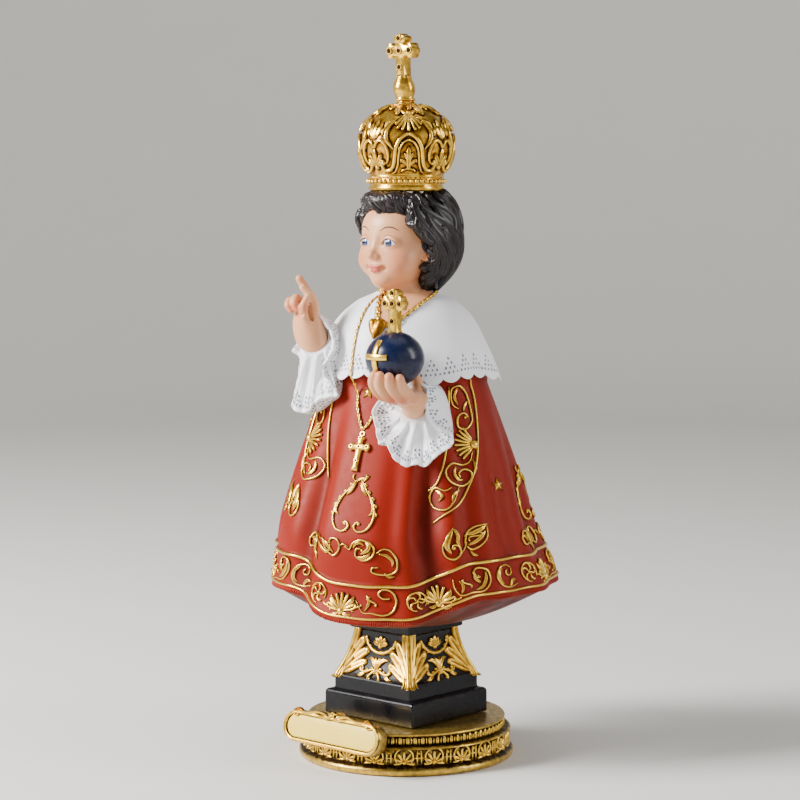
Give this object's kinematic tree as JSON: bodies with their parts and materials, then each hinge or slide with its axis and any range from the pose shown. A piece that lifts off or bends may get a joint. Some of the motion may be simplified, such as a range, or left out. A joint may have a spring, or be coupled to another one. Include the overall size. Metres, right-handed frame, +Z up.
{
  "type": "crowned child figurine",
  "caption": "Painted figurine of a crowned child in a wide gown and lace cape, holding an orb, on a moulded pedestal and a round gilded base.",
  "frame": {"origin": "centre of the round base's underside", "axes": "+Z up, the base's front with its name plate faces -Y, the figure's left is +X"},
  "size_m": [0.1231, 0.1254, 0.3057],
  "materials": {
    "base_gilding": "antique gold paint with a dark wash in the ornament",
    "black_lacquer": "semi-gloss black paint on resin",
    "figure_paint": "satin painted resin",
    "crown_gilding": "bright gold paint with a dark wash in the ornament",
    "orb_enamel": "high gloss dark blue paint"
  },
  "bodies": {
    "root": {"round_base": "base_gilding", "pedestal": "black_lacquer", "figure": "figure_paint", "crown": "crown_gilding", "orb": "orb_enamel"}
  },
  "joints": []
}
